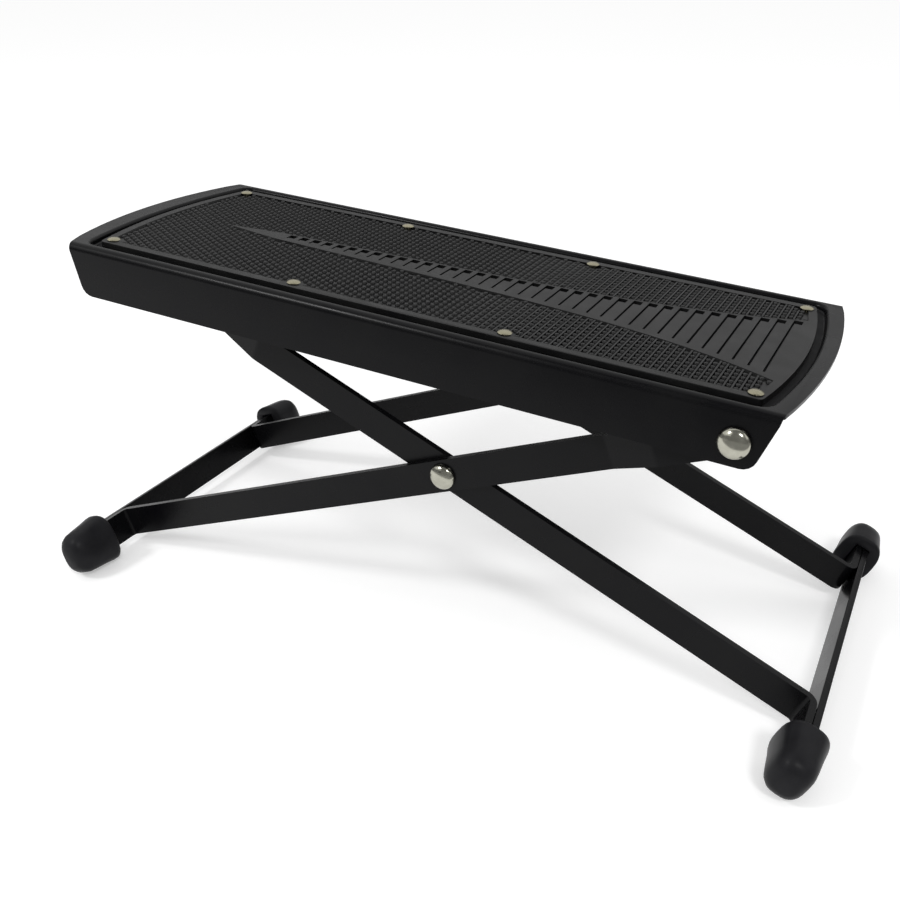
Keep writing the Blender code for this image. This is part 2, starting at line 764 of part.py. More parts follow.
# A leg: bar bent in plan, then cut to a rounded end and drilled. The path runs from
# the rounded end to the tip of the tab. The cut's straight sides lie outside the bar.
def make_leg(name, frame, facing, path_points, radii, holes):
    path = bent_path([(x, y * facing) for x, y in path_points], radii)
    mesh = outline_mesh(name, [thick_outline(path, BAR)], BAR_WIDTH)
    leg = place(mesh, name, frame, black_paint)
    end_x = holes[0][0]
    away = math.copysign(1, path_points[-1][0] - end_x)
    far_x = path_points[-1][0] + away * (BAR + OVERRUN)
    half = BAR_WIDTH / 2
    turn = math.pi / 2 * away
    plan = arc_points((end_x, 0), half, turn, turn + math.pi, ROUND_STEPS // 2)[1:-1]
    side = (half + OVERRUN) * away
    plan = [(end_x, side)] + plan + [(end_x, -side), (far_x, -side), (far_x, side)]
    loops = [plan] + [circle_points((x, 0), radius, ROUND_STEPS) for x, radius in holes]
    cutter = outline_mesh(f"{name}_plan", loops, (CAP_END + OVERRUN) * 2)
    cutter.transform(Matrix.Rotation(math.pi / 2, 4, "X"))
    add_boolean(leg, place(cutter, f"{name}_plan", frame), "INTERSECT")


def make_outer_legs():
    tab_x = STACK_OFFSET - OUTER_FOOT
    pivot_y = PIVOT_FACE - BAR / 2
    leg_y = OUTER_FACE - BAR / 2
    points = [
        (BAR_WIDTH, pivot_y), (-JOGGLE_START, pivot_y), (-JOGGLE_START - JOGGLE_LENGTH, leg_y),
        (tab_x, leg_y), (tab_x, BAR_END),
    ]
    radii = [SOFT_BEND, SOFT_BEND, BAR_BEND + BAR / 2]
    holes = [(0, PIVOT_SHANK + HOLE_CLEARANCE), (-SCISSOR_REACH, SCISSOR_SHANK + HOLE_CLEARANCE)]
    for label, facing in SIDES:
        make_leg(f"outer_leg_{label}", outer_frame, facing, points, radii, holes)


def make_inner_legs():
    tab_x = INNER_FOOT - STACK_OFFSET
    rod_y = ROD_FACE - BAR / 2
    leg_y = INNER_FACE - BAR / 2
    points = [
        (-ROD_REACH - BAR_WIDTH, rod_y), (-ROD_REACH + KINK_START, rod_y),
        (-ROD_REACH + KINK_START + KINK_LENGTH, leg_y), (tab_x, leg_y), (tab_x, BAR_END),
    ]
    radii = [SOFT_BEND, SOFT_BEND, BAR_BEND + BAR / 2]
    holes = [(-ROD_REACH, ROD_TENON + HOLE_CLEARANCE), (0, SCISSOR_SHANK + HOLE_CLEARANCE)]
    for label, facing in SIDES:
        make_leg(f"inner_leg_{label}", inner_frame, facing, points, radii, holes)


def make_crossbar(name, frame, x):
    mesh = bpy.data.meshes.new(name)
    bm = bmesh.new()
    bmesh.ops.create_cube(bm, size=1, matrix=Matrix.Diagonal((BAR, BAR_END * 2, BAR_WIDTH, 1)))
    bm.to_mesh(mesh)
    bm.free()
    place(mesh, name, frame, black_paint, (x, 0, 0))


# Rod with a shouldered tenon at each end, peened over outside the inner legs.
def make_height_rod():
    shoulder = ROD_FACE - BAR - FIT_GAP
    head = ROD_FACE + FIT_GAP
    tip = head + ROD_HEAD_HEIGHT
    half = [(0, tip), (ROD_TENON, tip), (ROD_HEAD, head + ROD_HEAD_HEIGHT / 2), (ROD_HEAD, head)]
    half += [(ROD_TENON, head), (ROD_TENON, shoulder), (ROD_RADIUS, shoulder)]
    profile = half + [(radius, -height) for radius, height in reversed(half)]
    turned(
        "height_rod", profile, inner_frame, zinc, SMALL_ROUND_STEPS,
        location=(-ROD_REACH, 0, 0), rotation=(math.pi / 2, 0, 0),
    )


def make_pivot_rivets():
    seat = PLATE_HALF + FIT_GAP
    grip = seat - PIVOT_FACE + BAR + FIT_GAP
    profile = rivet_profile(
        PIVOT_HEAD, PIVOT_DOME, PIVOT_SHANK, grip, PIVOT_TAIL, PIVOT_TAIL_HEIGHT,
    )
    washer = ring_profile(PIVOT_SHANK + HOLE_CLEARANCE, SPACER_RADIUS, SPACER)
    for label, facing in SIDES:
        turn = (-math.pi / 2 * facing, 0, 0)
        turned(
            f"pivot_rivet_{label}", profile, plate_frame, nickel, ROUND_STEPS,
            location=(-PIVOT_INSET, seat * facing, -PIVOT_DROP), rotation=turn,
        )
        turned(
            f"pivot_spacer_{label}", washer, plate_frame, zinc, ROUND_STEPS, True,
            location=(-PIVOT_INSET, (PIVOT_FACE + FIT_GAP) * facing, -PIVOT_DROP), rotation=turn,
        )


def make_scissor_rivets():
    seat = OUTER_FACE + FIT_GAP
    inside = INNER_FACE - BAR
    grip = seat - inside + FIT_GAP + WASHER + FIT_GAP
    profile = rivet_profile(
        SCISSOR_HEAD, SCISSOR_DOME, SCISSOR_SHANK, grip, SCISSOR_TAIL, SCISSOR_TAIL_HEIGHT,
    )
    washer = ring_profile(SCISSOR_SHANK + HOLE_CLEARANCE, WASHER_RADIUS, WASHER)
    for label, facing in SIDES:
        turn = (-math.pi / 2 * facing, 0, 0)
        turned(
            f"scissor_rivet_{label}", profile, outer_frame, nickel, ROUND_STEPS,
            location=(-SCISSOR_REACH, seat * facing, 0), rotation=turn,
        )
        turned(
            f"scissor_washer_{label}", washer, outer_frame, zinc, ROUND_STEPS, True,
            location=(-SCISSOR_REACH, (inside - FIT_GAP - WASHER) * facing, 0), rotation=turn,
        )


# A cap: oval sections from its mouth to its closed end, with a pocket for bar and tab.
def make_foot_cap(name, frame, x, facing):
    mesh = bpy.data.meshes.new(name)
    bm = bmesh.new()
    previous = None
    for share, scale in CAP_STATION_SHARES:
        y = (CAP_MOUTH + (CAP_END - CAP_MOUTH) * share) * facing
        loop = add_loop(bm, cap_outline(scale), y)
        if previous is None:
            bmesh.ops.contextual_create(bm, geom=loop)
        else:
            bmesh.ops.bridge_loops(bm, edges=previous + loop)
        previous = loop
    bmesh.ops.contextual_create(bm, geom=previous)
    bmesh.ops.rotate(bm, verts=bm.verts, matrix=Matrix.Rotation(math.pi / 2, 3, "X"))
    bmesh.ops.scale(bm, verts=bm.verts, vec=(1, -1, 1))
    bmesh.ops.recalc_face_normals(bm, faces=bm.faces)
    bm.to_mesh(mesh)
    bm.free()
    smooth(mesh, CAP_SMOOTH_ANGLE)
    cap = place(mesh, name, frame, cap_rubber, (x, 0, 0))
    pocket = bpy.data.meshes.new(f"{name}_pocket")
    bm = bmesh.new()
    start = CAP_MOUTH - OVERRUN
    end = BAR_END + FIT_GAP
    matrix = Matrix.Translation((0, (start + end) / 2 * facing, 0))
    matrix = matrix @ Matrix.Diagonal((POCKET_HALF_ALONG * 2, end - start, POCKET_HALF_ACROSS * 2, 1))
    bmesh.ops.create_cube(bm, size=1, matrix=matrix)
    bm.to_mesh(pocket)
    bm.free()
    add_boolean(cap, place(pocket, f"{name}_pocket", frame, None, (x, 0, 0)))


SIDES = (("near", -1), ("far", 1))

clear_scene()
parts = make_collection("guitar_footrest")
cutters = make_collection("cutters")

black_paint = make_material("black paint", (0.011, 0.011, 0.012), 0.38, 0.0)
mat_rubber = make_material("mat rubber", (0.016, 0.016, 0.018), 0.62, 0.0)
cap_rubber = make_material("cap rubber", (0.014, 0.014, 0.015), 0.55, 0.0)
nickel = make_material("nickel plate", (0.62, 0.60, 0.55), 0.26, 1.0)
zinc = make_material("zinc plate", (0.42, 0.42, 0.43), 0.38, 1.0)

LEG_ANGLE, FOLD_ANGLE = linkage_angles()
TILT = standing_tilt()
PLATE_X, PLATE_Z = standing_place(TILT)

plate_frame = make_frame("plate_frame", None, (PLATE_X, 0, PLATE_Z), TILT)
outer_frame = make_frame("outer_frame", plate_frame, (-PIVOT_INSET, 0, -PIVOT_DROP), -LEG_ANGLE)
inner_frame = make_frame("inner_frame", outer_frame, (-SCISSOR_REACH, 0, 0), FOLD_ANGLE)

make_top_plate()
make_tread_mat()
make_mat_rivets()
make_pivot_rivets()
make_outer_legs()
make_inner_legs()
make_scissor_rivets()
make_height_rod()
make_crossbar("outer_crossbar", outer_frame, -OUTER_FOOT - STACK_OFFSET)
make_crossbar("inner_crossbar", inner_frame, INNER_FOOT + STACK_OFFSET)
for side, way in SIDES:
    make_rack(f"rack_{side}", way)
    make_foot_cap(f"high_cap_{side}", outer_frame, -OUTER_FOOT, way)
    make_foot_cap(f"low_cap_{side}", inner_frame, INNER_FOOT, way)

bpy.context.view_layer.update()
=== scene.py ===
import math

import bmesh
import bpy
from mathutils import Matrix, Vector


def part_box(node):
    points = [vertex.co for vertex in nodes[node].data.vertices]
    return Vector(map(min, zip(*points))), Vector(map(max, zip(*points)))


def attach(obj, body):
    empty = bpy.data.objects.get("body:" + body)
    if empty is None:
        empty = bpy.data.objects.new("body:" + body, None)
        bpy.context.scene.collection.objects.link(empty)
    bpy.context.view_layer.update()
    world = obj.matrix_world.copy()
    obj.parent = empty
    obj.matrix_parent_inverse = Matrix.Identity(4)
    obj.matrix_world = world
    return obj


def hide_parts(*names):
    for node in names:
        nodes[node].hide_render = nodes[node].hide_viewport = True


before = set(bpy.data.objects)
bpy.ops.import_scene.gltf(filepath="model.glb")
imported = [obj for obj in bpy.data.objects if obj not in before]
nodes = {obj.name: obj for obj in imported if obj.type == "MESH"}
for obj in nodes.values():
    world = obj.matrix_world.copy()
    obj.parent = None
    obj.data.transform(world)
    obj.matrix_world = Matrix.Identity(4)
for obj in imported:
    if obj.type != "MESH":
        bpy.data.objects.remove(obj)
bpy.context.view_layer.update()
print("frame loaded:", len(nodes), "nodes")

# The plate's own axes: origin in the middle of its low end line, +X along it, +Z square to it.
plate = {"place": (0.123206, 0.0, 0.117869), "tilt": 0.068569}
plateSpace = Matrix.Translation(plate["place"]) @ Matrix.Rotation(plate["tilt"], 4, "Y")
intoPlate = plateSpace.inverted()


def fromHex(code):
    channels = [int(code[i:i + 2], 16) / 255 for i in (0, 2, 4)]
    linear = [c / 12.92 if c <= 0.04045 else ((c + 0.055) / 1.055) ** 2.4 for c in channels]
    return (*linear, 1.0)


# Adds a node: its settings are attributes or sockets, its links are sockets fed by others.
def addNode(tree, kind, settings=None, links=None):
    node = tree.nodes.new(kind)
    for name, value in (settings or {}).items():
        if isinstance(name, str) and hasattr(node, name):
            setattr(node, name, value)
        else:
            node.inputs[name].default_value = value
    for name, output in (links or {}).items():
        tree.links.new(output, node.inputs[name])
    return node


# What all finishes share: the span of the cloud noise that is used, and the grain's detail.
finish = {"cloudFrom": 0.3, "cloudTo": 0.7, "grainDetail": 3.0}


# Makes one finish from its look: a cloud of two tones and two glosses, and a fine grain in relief.
def newFinish(name, look):
    material = bpy.data.materials.new(name)
    material.use_nodes = True
    tree = material.node_tree
    shader = tree.nodes["Principled BSDF"]
    for socket, value in look["shader"].items():
        shader.inputs[socket].default_value = value
    place = addNode(tree, "ShaderNodeTexCoord").outputs["Object"]
    cloud = addNode(
        tree, "ShaderNodeTexNoise", {"Scale": 1 / look["cloud"], "Detail": look["cloudDetail"]},
        {"Vector": place},
    )
    spread = addNode(
        tree, "ShaderNodeMapRange", {"From Min": finish["cloudFrom"], "From Max": finish["cloudTo"]},
        {"Value": cloud.outputs["Fac"]},
    ).outputs["Result"]
    tones = {"data_type": "RGBA", 6: fromHex(look["dark"]), 7: fromHex(look["light"])}
    tone = addNode(tree, "ShaderNodeMix", tones, {0: spread})
    smoothest, roughest = look["gloss"]
    gloss = addNode(
        tree, "ShaderNodeMapRange", {"To Min": smoothest, "To Max": roughest}, {"Value": spread},
    )
    grain = addNode(
        tree, "ShaderNodeTexNoise", {"Scale": 1 / look["grain"], "Detail": finish["grainDetail"]},
        {"Vector": place},
    )
    bump = addNode(
        tree, "ShaderNodeBump", {"Strength": look["grainStrength"], "Distance": look["grainDepth"]},
        {"Height": grain.outputs["Fac"]},
    )
    tree.links.new(tone.outputs[2], shader.inputs["Base Color"])
    tree.links.new(gloss.outputs["Result"], shader.inputs["Roughness"])
    tree.links.new(bump.outputs["Normal"], shader.inputs["Normal"])
    return material


# "cloud" and "grain" are sizes in metres. A grain that is finer than the render's pixels, about
# 0.35 mm, is drawn about that coarse, so that it shows.

# Black enamel, sprayed and baked: a soft even sheen over a slight orange peel.
satinEnamel = newFinish("satinBlackEnamel", {
    "dark": "08080a", "light": "0d0d0e", "cloud": 0.018, "cloudDetail": 3.0, "gloss": (0.24, 0.3),
    "grain": 0.0011, "grainDepth": 0.00003, "grainStrength": 0.2, "shader": {"IOR": 1.22},
})

# The same enamel on the floor of the recess, rough and a little greyer: painted shade, standing in for
# the shade that falls in the narrow groove.
recessShadeEnamel = newFinish("recessShadeBlackEnamel", {
    "dark": "1a1a1b", "light": "202021", "cloud": 0.006, "cloudDetail": 5.0, "gloss": (0.55, 0.7),
    "grain": 0.0005, "grainDepth": 0.00004, "grainStrength": 0.5, "shader": {"IOR": 1.16},
})

# Moulded rubber of the mat: matt, with the fine grain of a spark eroded mould.
matRubber = newFinish("mouldedMatRubber", {
    "dark": "0c0c0d", "light": "141414", "cloud": 0.012, "cloudDetail": 6.0, "gloss": (0.36, 0.46),
    "grain": 0.0004, "grainDepth": 0.00003, "grainStrength": 0.3, "shader": {"IOR": 1.33},
})

# Dipped rubber of the foot caps: smoother and softer in its sheen than the mat.
capRubber = newFinish("dippedCapRubber", {
    "dark": "1a1a1c", "light": "232325", "cloud": 0.009, "cloudDetail": 5.0, "gloss": (0.34, 0.42),
    "grain": 0.0006, "grainDepth": 0.00002, "grainStrength": 0.2, "shader": {"IOR": 1.16},
})

# Nickel plate on the frame's rivets: a warm white metal, bright and slightly clouded.
nickelPlate = newFinish("nickelPlate", {
    "dark": "a3a296", "light": "afaea2", "cloud": 0.0016, "cloudDetail": 3.0, "gloss": (0.14, 0.2),
    "grain": 0.00035, "grainDepth": 0.00001, "grainStrength": 0.12, "shader": {"Metallic": 1.0},
})

# The same nickel on the mat's rivets, dulled by shoes and yellower.
dulledNickel = newFinish("dulledNickel", {
    "dark": "928e79", "light": "a09b86", "cloud": 0.0012, "cloudDetail": 4.0, "gloss": (0.22, 0.34),
    "grain": 0.0003, "grainDepth": 0.00001, "grainStrength": 0.2, "shader": {"Metallic": 1.0},
})

# Zinc plate on rod, washers and spacers: blue grey, with a dull crystalline cloud.
zincPlate = newFinish("zincPlate", {
    "dark": "8d8f93", "light": "b4b6b8", "cloud": 0.0025, "cloudDetail": 4.0, "gloss": (0.3, 0.45),
    "grain": 0.0005, "grainDepth": 0.00001, "grainStrength": 0.2, "shader": {"Metallic": 1.0},
})
print("materials made")

# Points closer than this are one, and faces that turn by less (in degrees) are one flat.
merging = {"distance": 0.000003, "turn": 0.5}


def newObject(name, bm, material):
    mesh = bpy.data.meshes.new(name)
    bm.to_mesh(mesh)
    bm.free()
    mesh.materials.append(material)
    item = bpy.data.objects.new(name, mesh)
    bpy.context.collection.objects.link(item)
    return item


# Finishes a bmesh as a piece that rides on a body and stands for a CAD node.
def newPiece(name, bm, material, body, node, smoothAngle=40):
    piece = newObject(name, bm, material)
    piece.data.shade_smooth()
    piece.data.set_sharp_from_angle(angle=math.radians(smoothAngle))
    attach(piece, body)
    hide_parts(node)
    return piece


def evenShading(piece):
    piece.modifiers.new("evenShading", "WEIGHTED_NORMAL").keep_sharp = True


# A merged copy of a CAD node's mesh, its flats made whole again.
def copyNode(node):
    bm = bmesh.new()
    bm.from_mesh(nodes[node].data)
    bmesh.ops.remove_doubles(bm, verts=bm.verts, dist=merging["distance"])
    flat = math.radians(merging["turn"])
    bmesh.ops.dissolve_limit(bm, angle_limit=flat, verts=bm.verts, edges=bm.edges)
    bmesh.ops.recalc_face_normals(bm, faces=bm.faces)
    return bm


def breakEdges(bm, width, steps=2, sharpest=45):
    limit = math.radians(sharpest)
    edges = [e for e in bm.edges if e.is_manifold and e.calc_face_angle() > limit]
    bmesh.ops.bevel(
        bm, geom=edges, offset=width, offset_type="OFFSET", segments=steps, profile=0.5,
        affect="EDGES", clamp_overlap=True, material=-1,
    )


def pieceName(node):
    words = node.split("_")
    return words[0] + "".join(word.capitalize() for word in words[1:])


# Copies that keep the CAD's shape, with their edges broken by their body's width.
metalwork = {
    "top_plate": "plate", "rack_near": "plate", "rack_far": "plate",
    "outer_leg_near": "outer_frame", "outer_leg_far": "outer_frame", "outer_crossbar": "outer_frame",
    "inner_leg_near": "inner_frame", "inner_leg_far": "inner_frame", "inner_crossbar": "inner_frame",
}
brokenEdge = {"plate": 0.0002, "outer_frame": 0.00035, "inner_frame": 0.00035}
bend = {"cadRadius": 0.0014, "radius": 0.0028, "half": 0.055, "close": 0.00005}
recess = {"floor": -0.0026, "close": 0.0003, "facingUp": 0.9}


# Widens the bends along the plate's sides: their outer skins grow about the corner lines.
def widenBends(bm):
    bmesh.ops.transform(bm, matrix=intoPlate, verts=bm.verts)
    small, growth = bend["cadRadius"], bend["radius"] / bend["cadRadius"]
    for vert in bm.verts:
        inward, drop = bend["half"] - abs(vert.co.y), -vert.co.z
        onSkin = abs(math.hypot(small - inward, small - drop) - small) < bend["close"]
        if onSkin and max(inward, drop) < small + bend["close"]:
            vert.co.y = math.copysign(bend["half"] - inward * growth, vert.co.y)
            vert.co.z = -drop * growth
    bmesh.ops.transform(bm, matrix=plateSpace, verts=bm.verts)


# Gives the recess's floor the enamel of painted groove shade, as the plate's second material.
def paintRecessShade(piece):
    piece.data.materials.append(recessShadeEnamel)
    for face in piece.data.polygons:
        depth = (intoPlate @ face.center).z - recess["floor"]
        if abs(depth) < recess["close"] and face.normal.z > recess["facingUp"]:
            face.material_index = 1


for node, body in metalwork.items():
    bm = copyNode(node)
    if node == "top_plate":
        widenBends(bm)
    breakEdges(bm, brokenEdge[body])
    piece = newPiece(pieceName(node), bm, satinEnamel, body, node)
    evenShading(piece)
    if node == "top_plate":
        paintRecessShade(piece)
print("plate and frames dressed")

fittings = {
    "height_rod": "inner_frame", "pivot_spacer_near": "plate", "pivot_spacer_far": "plate",
    "scissor_washer_near": "outer_frame", "scissor_washer_far": "outer_frame",
}
fittingEdge = 0.00015
for node, body in fittings.items():
    bm = copyNode(node)
    breakEdges(bm, fittingEdge)
    newPiece(pieceName(node), bm, zincPlate, body, node)

caps = {
    "high_cap_near": "outer_frame", "high_cap_far": "outer_frame",
    "low_cap_near": "inner_frame", "low_cap_far": "inner_frame",
}
capEdge = {"width": 0.0006, "steps": 3, "sharpest": 60}
for node, body in caps.items():
    bm = copyNode(node)
    breakEdges(bm, capEdge["width"], capEdge["steps"], capEdge["sharpest"])
    newPiece(pieceName(node), bm, capRubber, body, node, capEdge["sharpest"])
print("caps and fittings dressed")


# A rivet: half its section, spun about the axis. Its head sits at the space's origin.
def spinRivet(name, look, grip, space, body, node):
    bm = bmesh.new()
    section = []
    for step in range(look["domeSteps"] + 1):
        reach = math.sin(math.pi / 2 * step / look["domeSteps"])
        height = look["dome"] * (1 - reach ** look["power"]) ** look["shoulder"]
        section.append((look["head"] * reach, height))
    tail = -grip - look["tailHeight"]
    section += [
        (look["shank"], 0), (look["shank"], -grip), (look["tail"], -grip),
        (look["tail"], -grip - look["tailHeight"] / 2), (look["shank"], tail), (0, tail),
    ]
    verts = [bm.verts.new((radius, 0, height)) for radius, height in section]
    edges = [bm.edges.new(pair) for pair in zip(verts, verts[1:])]
    bmesh.ops.spin(
        bm, geom=verts + edges, cent=(0, 0, 0), axis=(0, 0, 1), angle=2 * math.pi,
        steps=look["segments"], use_merge=True,
    )
    bmesh.ops.remove_doubles(bm, verts=bm.verts, dist=merging["distance"])
    bmesh.ops.recalc_face_normals(bm, faces=bm.faces)
    bmesh.ops.transform(bm, matrix=space, verts=bm.verts)
    return newPiece(name, bm, look["finish"], body, node)


matRivet = {
    "finish": dulledNickel, "head": 0.0025, "dome": 0.0007, "power": 2.4, "shoulder": 0.85,
    "shank": 0.0015, "grip": 0.0045, "tail": 0.0024, "tailHeight": 0.0009,
    "domeSteps": 8, "segments": 32,
    "columns": (-0.0107, -0.092317, -0.173933, -0.25555), "row": 0.0423, "seat": 0.0002,
}
spots = [(x, y) for x in matRivet["columns"] for y in (-matRivet["row"], matRivet["row"])]
for number, (x, y) in enumerate(spots, 1):
    space = plateSpace @ Matrix.Translation((x, y, matRivet["seat"]))
    spinRivet(f"matRivet{number}", matRivet, matRivet["grip"], space, "plate", f"mat_rivet_{number}")

pivotRivet = {
    "finish": nickelPlate, "head": 0.0052, "dome": 0.0030, "power": 2.2, "shoulder": 0.45,
    "shank": 0.0025, "tail": 0.0040, "tailHeight": 0.0013, "domeSteps": 12, "segments": 64,
}
scissorRivet = {
    "finish": nickelPlate, "head": 0.00485, "dome": 0.0026, "power": 2.2, "shoulder": 0.45,
    "shank": 0.0022, "tail": 0.0036, "tailHeight": 0.0012, "domeSteps": 12, "segments": 64,
}
for kind, look, body in (("pivot", pivotRivet, "plate"), ("scissor", scissorRivet, "outer_frame")):
    for side, facing in (("near", -1), ("far", 1)):
        node = f"{kind}_rivet_{side}"
        low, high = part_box(node)
        outside = high[1] if facing > 0 else low[1]
        across, up = (low[0] + high[0]) / 2, (low[2] + high[2]) / 2
        grip = high[1] - low[1] - look["dome"] - look["tailHeight"]
        seat = Matrix.Translation((across, outside - look["dome"] * facing, up))
        space = seat @ Matrix.Rotation(-math.pi / 2 * facing, 4, "X")
        spinRivet(pieceName(node), look, grip, space, body, node)
print("rivets made")

# The tread mat: the CAD mat with its rim rounded over and its slots widened, and the tread's
# beads and ribs. "cad" values find the places in the CAD mat's mesh.
tread = {
    "top": -0.0001, "highEnd": -0.26375, "lowEnd": -0.00275, "half": 0.0459, "bow": 0.0052,
    "border": 0.0030, "sideRound": 0.0019, "sideSpread": 0.0005, "endRound": 0.0005, "rimSteps": 5,
    "cadLevel": 0.00002, "cadSide": 0.0001, "cadWall": -0.0007, "cadUpright": 0.1,
    "cadFloor": -0.0006, "cadFloorLevel": 0.00005, "floor": -0.0009,
    "fanTip": -0.2318, "fanTipHalf": 0.0036, "fanOrigin": -0.2088, "fanSpan": 0.1967,
    "fanMargin": 0.0034, "fanTaper": 0.047, "fanFlare": 0.015, "fanPower": 5, "fanHalf": 0.0005,
    "firstSlot": -0.0121, "slotPitch": 0.00536, "slotHalf": 0.00025, "slotGrowth": 0.00014,
    "slotGap": 0.0007, "firstColumn": -0.00905, "columnPitch": 0.00255,
    "beadPitch": 0.0031, "beadSegments": 8, "beadBase": 0.00102, "beadTop": 0.00078,
    "beadHeight": 0.00076, "beadRound": 0.00026, "beadSteps": 2, "beadRoom": 0.000816,
    "rivetRoom": 0.0027, "ribWidth": 0.0006, "ribHeight": 0.0007, "ribShortest": 0.004,
    "ribsFrom": -0.125, "ribsFull": -0.075, "ribFanGap": 0.0006, "ribSideGap": 0.0003,
    "ribEndGap": 0.0004, "ribRivetReach": 0.0031, "ribRivetGap": 0.0029,
}


def fanHalf(x):
    along = x - tread["fanOrigin"]
    if along < 0:
        share = (x - tread["fanTip"]) / (tread["fanOrigin"] - tread["fanTip"])
        return max(0, share) * tread["fanTipHalf"]
    flare = tread["fanFlare"] * (along / tread["fanSpan"]) ** tread["fanPower"]
    return tread["fanHalf"] + tread["fanTaper"] * along + flare + tread["fanMargin"]


# The field's ends at a distance from the middle line, inside the smooth border.
def fieldEnds(y):
    bowIn = tread["bow"] * (y / tread["half"]) ** 2
    return tread["highEnd"] + tread["border"] + bowIn, tread["lowEnd"] - tread["border"] - bowIn


def inField(x, y, room):
    high, low = fieldEnds(y)
    if not high + room < x < low - room:
        return False
    if abs(y) > tread["half"] - tread["border"] - room:
        return False
    if abs(y) < fanHalf(x) + room and x > tread["fanTip"] - room:
        return False
    clear = tread["rivetRoom"] + room
    return all(math.hypot(x - cx, abs(y) - matRivet["row"]) > clear for cx in matRivet["columns"])


def onRim(edge):
    level = all(abs(v.co.z - tread["top"]) < tread["cadLevel"] for v in edge.verts)
    walls = [face for face in edge.link_faces if abs(face.normal.z) < tread["cadUpright"]]
    outside = any(face.calc_center_median().z < tread["cadWall"] for face in walls)
    return level and outside and edge.is_manifold


def onSide(edge):
    return all(abs(v.co.y) > tread["half"] - tread["cadSide"] for v in edge.verts)


bm = copyNode("tread_mat")
bmesh.ops.transform(bm, matrix=intoPlate, verts=bm.verts)
for sides, width in ((True, tread["sideRound"]), (False, tread["endRound"])):
    rim = [edge for edge in bm.edges if onRim(edge) and onSide(edge) == sides]
    bmesh.ops.bevel(
        bm, geom=rim, offset=width, offset_type="OFFSET", segments=tread["rimSteps"], profile=0.5,
        affect="EDGES", clamp_overlap=not sides, material=-1,
    )

# The sides spread outward, the slots widen, and the field's floor sinks.
for vert in bm.verts:
    past = abs(vert.co.y) - (tread["half"] - tread["sideRound"])
    if past > 0:
        vert.co.y += math.copysign(tread["sideSpread"] * past / tread["sideRound"], vert.co.y)
    along = (vert.co.x - tread["firstSlot"]) / tread["slotPitch"]
    aside = (along - round(along)) * tread["slotPitch"]
    onWall = abs(abs(aside) - tread["slotHalf"]) < tread["cadLevel"]
    if onWall and abs(vert.co.y) < fanHalf(vert.co.x) - tread["slotGap"]:
        vert.co.x += math.copysign(tread["slotGrowth"], aside)
    if abs(vert.co.z - tread["cadFloor"]) < tread["cadFloorLevel"]:
        vert.co.z = tread["floor"]

columns = int((tread["lowEnd"] - tread["highEnd"]) / tread["columnPitch"])
rows = int(tread["half"] / tread["beadPitch"])
middle = tread["floor"] + tread["beadHeight"] / 2
tops = []
for column in range(columns):
    x = tread["firstColumn"] - tread["columnPitch"] * column
    shift = tread["beadPitch"] / 2 * (column % 2)
    for row in range(-rows, rows + 1):
        y = row * tread["beadPitch"] + shift
        if not inField(x, y, tread["beadRoom"]):
            continue
        made = bmesh.ops.create_cone(
            bm, cap_ends=True, segments=tread["beadSegments"], radius1=tread["beadBase"],
            radius2=tread["beadTop"], depth=tread["beadHeight"],
            matrix=Matrix.Translation((x, y, middle)),
        )
        upper = [v for v in made["verts"] if v.co.z > middle]
        tops += [e for v in upper for e in v.link_edges if all(w in upper for w in e.verts)]
bmesh.ops.bevel(
    bm, geom=list(dict.fromkeys(tops)), offset=tread["beadRound"], offset_type="OFFSET",
    segments=tread["beadSteps"], profile=0.5, affect="EDGES", clamp_overlap=True, material=-1,
)
print("beads made:", len(bm.faces), "faces")

# Ribs run across the field between the columns, and rise towards the low end.
for column in range(columns):
    x = tread["firstColumn"] - tread["columnPitch"] * (column - 0.5)
    grow = (x - tread["ribsFrom"]) / (tread["ribsFull"] - tread["ribsFrom"])
    inner = fanHalf(x) + tread["ribFanGap"]
    outer = tread["half"] - tread["border"] - tread["ribSideGap"]
    lowest = fieldEnds(outer)[1] - tread["ribEndGap"]
    if grow <= 0 or x > lowest or outer < inner + tread["ribShortest"]:
        continue
    if min(abs(x - cx) for cx in matRivet["columns"]) < tread["ribRivetReach"]:
        outer = matRivet["row"] - tread["ribRivetGap"]
    height = tread["ribHeight"] * min(1, grow)
    size = Matrix.Diagonal((tread["ribWidth"], outer - inner, height, 1))
    for facing in (-1, 1):
        centre = (x, (inner + outer) / 2 * facing, tread["floor"] + height / 2)
        bmesh.ops.create_cube(bm, size=1, matrix=Matrix.Translation(centre) @ size)
bmesh.ops.transform(bm, matrix=plateSpace, verts=bm.verts)
treadMat = newPiece("treadMat", bm, matRubber, "plate", "tread_mat", smoothAngle=50)
evenShading(treadMat)
print("tread mat made")

# The camera stands where the photograph's stood.
camera = {
    "place": (0.161424, -0.342768, 0.245373), "turn": (63.4195, 0.1818, 26.4916),
    "lens": 42.736, "sensor": 36, "clipStart": 0.01,
}
cameraData = bpy.data.cameras.new("photoCamera")
cameraData.lens = camera["lens"]
cameraData.sensor_width = camera["sensor"]
cameraData.clip_start = camera["clipStart"]
cameraObject = bpy.data.objects.new("photoCamera", cameraData)
cameraObject.location = camera["place"]
cameraObject.rotation_euler = [math.radians(angle) for angle in camera["turn"]]
bpy.context.collection.objects.link(cameraObject)
bpy.context.scene.camera = cameraObject

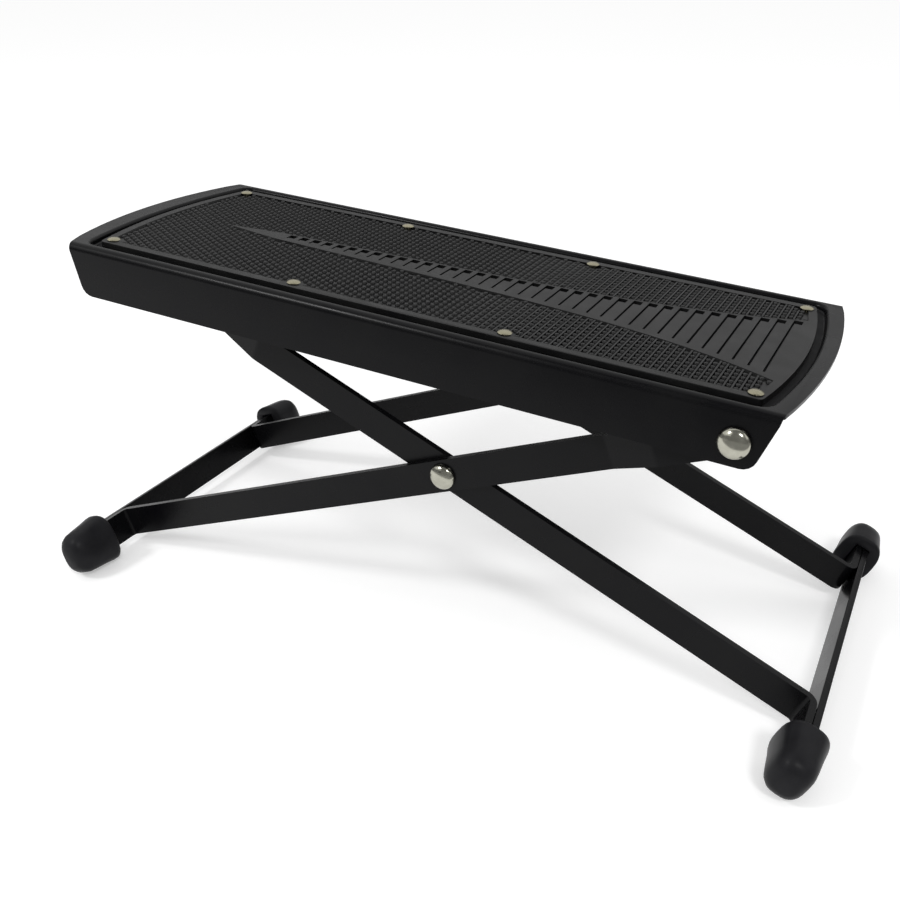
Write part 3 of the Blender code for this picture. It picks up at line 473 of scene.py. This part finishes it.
# A pale studio: matt floor, white surroundings and two small soft lamps in front. The room is
# darker on the camera's side, where a bent card stands, and a low grey ring closes the horizon.
# Card and ring show in the gloss alone, and shade nothing.
studio = {
    "floorSize": 4.0, "floorColour": "e9e9e9", "floorLift": 0.34, "dayStrength": 0.76,
    "matt": {"Roughness": 0.9, "Specular IOR Level": 0.0},
    "lampAim": (0.0, 0.0, 0.08), "lampSize": 0.28, "lampPower": 6.8,
    "lamps": {"leftLamp": (-0.75, -0.9, 1.15), "rightLamp": (0.75, -0.9, 1.15)},
    "card": {
        "colour": "999999", "near": 0.25, "foot": 0.001, "width": 3.0, "turn": 24.9,
        "bends": ((0, -1.25, 0), (0, 0, 1.6), (0, 1.5, 0.7)),
    },
    "ring": {"colour": "959595", "radius": 2.4, "height": 0.9, "segments": 64},
}


def stagePiece(name, bm, colour):
    material = bpy.data.materials.new(name)
    material.use_nodes = True
    shader = material.node_tree.nodes["Principled BSDF"]
    shader.inputs["Base Color"].default_value = fromHex(colour)
    for socket, value in studio["matt"].items():
        shader.inputs[socket].default_value = value
    piece = newObject(name, bm, material)
    return piece, material.node_tree, shader


# White as the camera and the gloss of metal see it: 1 there, and 0 for other light.
def whiteShare(tree):
    path = addNode(tree, "ShaderNodeLightPath")
    share = path.outputs["Is Camera Ray"]
    for ray in ("Is Glossy Ray", "Is Transmission Ray"):
        share = addNode(
            tree, "ShaderNodeMath", {"operation": "MAXIMUM"}, {0: share, 1: path.outputs[ray]},
        ).outputs[0]
    return share


bm = bmesh.new()
bmesh.ops.create_grid(bm, x_segments=1, y_segments=1, size=studio["floorSize"])
tree, shader = stagePiece("floor", bm, studio["floorColour"])[1:]
shader.inputs["Emission Color"].default_value = (1, 1, 1, 1)
lift = addNode(tree, "ShaderNodeMapRange", {"To Max": studio["floorLift"]}, {"Value": whiteShare(tree)})
tree.links.new(lift.outputs["Result"], shader.inputs["Emission Strength"])

card = studio["card"]
bm = bmesh.new()
ends = [bm.verts.new((side * card["width"] / 2, -card["near"], card["foot"])) for side in (-1, 1)]
edge = bm.edges.new(ends)
for step in card["bends"]:
    made = bmesh.ops.extrude_edge_only(bm, edges=[edge])["geom"]
    ends = [item for item in made if isinstance(item, bmesh.types.BMVert)]
    bmesh.ops.translate(bm, vec=step, verts=ends)
    edge = bm.edges.get(ends)
bmesh.ops.rotate(bm, matrix=Matrix.Rotation(math.radians(card["turn"]), 3, "Z"), verts=bm.verts)
roomCard = stagePiece("roomCard", bm, card["colour"])[0]

ring = studio["ring"]
bm = bmesh.new()
bmesh.ops.create_cone(
    bm, segments=ring["segments"], radius1=ring["radius"], radius2=ring["radius"],
    depth=ring["height"], matrix=Matrix.Translation((0, 0, ring["height"] / 2)),
)
horizonCard = stagePiece("horizonCard", bm, ring["colour"])[0]
for item in (roomCard, horizonCard):
    item.visible_camera = False
    item.visible_diffuse = False
    item.visible_shadow = False

for name, spot in studio["lamps"].items():
    lamp = bpy.data.lights.new(name, "AREA")
    lamp.shape = "DISK"
    lamp.size = studio["lampSize"]
    lamp.energy = studio["lampPower"]
    lampObject = bpy.data.objects.new(name, lamp)
    lampObject.location = spot
    aim = Vector(studio["lampAim"]) - Vector(spot)
    lampObject.rotation_euler = aim.to_track_quat("-Z", "Y").to_euler()
    bpy.context.collection.objects.link(lampObject)

world = bpy.data.worlds.new("studio")
bpy.context.scene.world = world
world.use_nodes = True
tree = world.node_tree
background = tree.nodes["Background"]
background.inputs["Color"].default_value = (1, 1, 1, 1)
strength = addNode(
    tree, "ShaderNodeMapRange", {"To Min": studio["dayStrength"], "To Max": 1.0},
    {"Value": whiteShare(tree)},
)
tree.links.new(strength.outputs["Result"], background.inputs["Strength"])
bpy.context.scene.view_settings.view_transform = "Standard"
print("studio lit")
